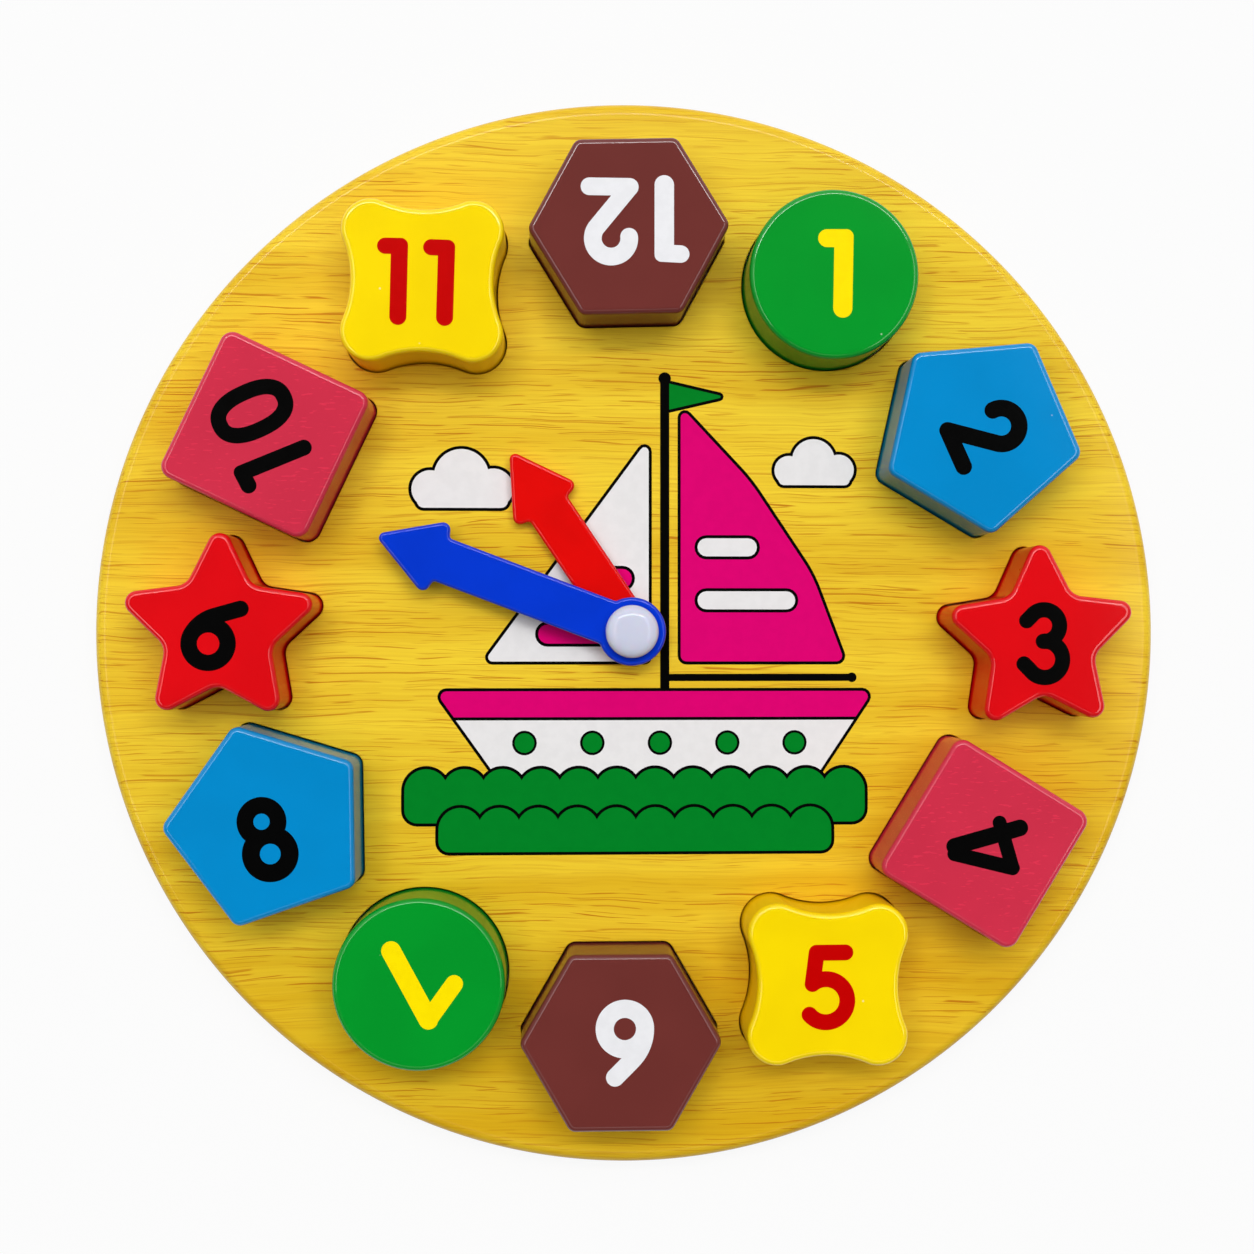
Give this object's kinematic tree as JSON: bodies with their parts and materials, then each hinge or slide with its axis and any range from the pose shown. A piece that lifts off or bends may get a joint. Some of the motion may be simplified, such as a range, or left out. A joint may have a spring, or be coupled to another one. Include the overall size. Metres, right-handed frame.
{
  "type": "wooden puzzle clock",
  "caption": "Round wooden teaching clock with lift-out numbered blocks in a ring of shaped recesses and two turning hands on a domed centre pin.",
  "frame": {"origin": "centre of the board's back face, on the surface that the clock lies on", "axes": "+Z out of the dial, +Y towards twelve o'clock, +X towards three o'clock"},
  "size_m": [0.22, 0.22, 0.021],
  "materials": {
    "face_wood": "yellow-stained wood grain under clear lacquer",
    "back_wood": "bare sanded plywood",
    "block_green": "gloss lacquer",
    "block_blue": "gloss lacquer",
    "block_red": "gloss lacquer",
    "block_pink": "satin lacquer with faint grain",
    "block_yellow": "gloss lacquer",
    "block_brown": "gloss lacquer",
    "hand_red": "semi-gloss moulded",
    "hand_blue": "semi-gloss moulded",
    "pin_plastic": "gloss moulded, faintly translucent",
    "washer_plastic": "natural matt",
    "ink_white": "screen-printed ink under lacquer",
    "ink_black": "screen-printed ink under lacquer",
    "ink_yellow": "screen-printed ink under lacquer",
    "ink_red": "screen-printed ink under lacquer",
    "ink_magenta": "screen-printed ink under lacquer",
    "ink_green": "screen-printed ink under lacquer"
  },
  "bodies": {
    "board": {"back_board": "back_wood", "face_board": "face_wood", "board_washer": "washer_plastic", "hand_washer": "washer_plastic", "pivot_pin": "pin_plastic", "rear_cap": "pin_plastic"},
    "hour_hand": {"hour_hand": "hand_red"},
    "minute_hand": {"minute_hand": "hand_blue"},
    "block_01": {"block_01": "block_green"},
    "block_02": {"block_02": "block_blue"},
    "block_03": {"block_03": "block_red"},
    "block_04": {"block_04": "block_pink"},
    "block_05": {"block_05": "block_yellow"},
    "block_06": {"block_06": "block_brown"},
    "block_07": {"block_07": "block_green"},
    "block_08": {"block_08": "block_blue"},
    "block_09": {"block_09": "block_red"},
    "block_10": {"block_10": "block_pink"},
    "block_11": {"block_11": "block_yellow"},
    "block_12": {"block_12": "block_brown"}
  },
  "joints": [
    {"name": "hour_hand_turn", "type": "hinge", "parent": "board", "child": "hour_hand", "pos_m": [0, 0, 0.0105], "axis": [0, 0, 1], "continuous": true},
    {"name": "minute_hand_turn", "type": "hinge", "parent": "board", "child": "minute_hand", "pos_m": [0, 0, 0.013], "axis": [0, 0, 1], "continuous": true},
    {"name": "block_01_lift", "type": "slide", "parent": "board", "child": "block_01", "axis": [0, 0, 1], "range_m": [0, 0.03]},
    {"name": "block_02_lift", "type": "slide", "parent": "board", "child": "block_02", "axis": [0, 0, 1], "range_m": [0, 0.03]},
    {"name": "block_03_lift", "type": "slide", "parent": "board", "child": "block_03", "axis": [0, 0, 1], "range_m": [0, 0.03]},
    {"name": "block_04_lift", "type": "slide", "parent": "board", "child": "block_04", "axis": [0, 0, 1], "range_m": [0, 0.03]},
    {"name": "block_05_lift", "type": "slide", "parent": "board", "child": "block_05", "axis": [0, 0, 1], "range_m": [0, 0.03]},
    {"name": "block_06_lift", "type": "slide", "parent": "board", "child": "block_06", "axis": [0, 0, 1], "range_m": [0, 0.03]},
    {"name": "block_07_lift", "type": "slide", "parent": "board", "child": "block_07", "axis": [0, 0, 1], "range_m": [0, 0.03]},
    {"name": "block_08_lift", "type": "slide", "parent": "board", "child": "block_08", "axis": [0, 0, 1], "range_m": [0, 0.03]},
    {"name": "block_09_lift", "type": "slide", "parent": "board", "child": "block_09", "axis": [0, 0, 1], "range_m": [0, 0.03]},
    {"name": "block_10_lift", "type": "slide", "parent": "board", "child": "block_10", "axis": [0, 0, 1], "range_m": [0, 0.03]},
    {"name": "block_11_lift", "type": "slide", "parent": "board", "child": "block_11", "axis": [0, 0, 1], "range_m": [0, 0.03]},
    {"name": "block_12_lift", "type": "slide", "parent": "board", "child": "block_12", "axis": [0, 0, 1], "range_m": [0, 0.03]}
  ]
}
